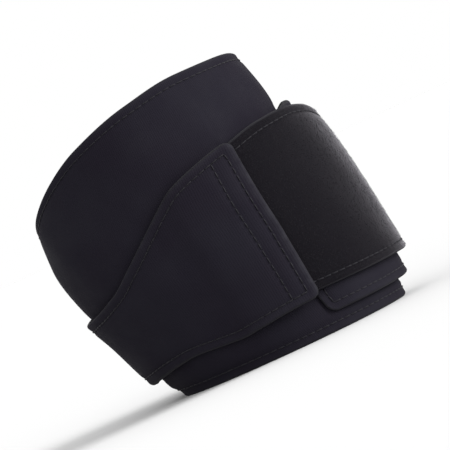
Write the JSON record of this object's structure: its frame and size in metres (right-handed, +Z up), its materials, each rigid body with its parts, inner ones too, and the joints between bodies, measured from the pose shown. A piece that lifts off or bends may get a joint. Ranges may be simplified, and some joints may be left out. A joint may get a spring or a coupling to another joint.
{
  "type": "tennis elbow strap",
  "caption": "Black neoprene forearm cuff for tennis elbow, with a loop-faced tension strap over a backing layer, closed by a wide neoprene flap.",
  "frame": {"origin": "middle of the part's box at the height of the cuff's lower rim, which it stands on", "axes": "+Z up from the lower rim towards the elbow, +X towards the side where the tension strap stands proud, -Y towards the flap's end"},
  "size_m": [0.1113, 0.0997, 0.099],
  "materials": {
    "neoprene": "matte",
    "loop_fabric": "matte"
  },
  "bodies": {
    "root": {"neoprene_cuff": "neoprene", "strap_backing": "neoprene", "tension_strap": "loop_fabric", "closing_flap": "neoprene"}
  },
  "joints": []
}
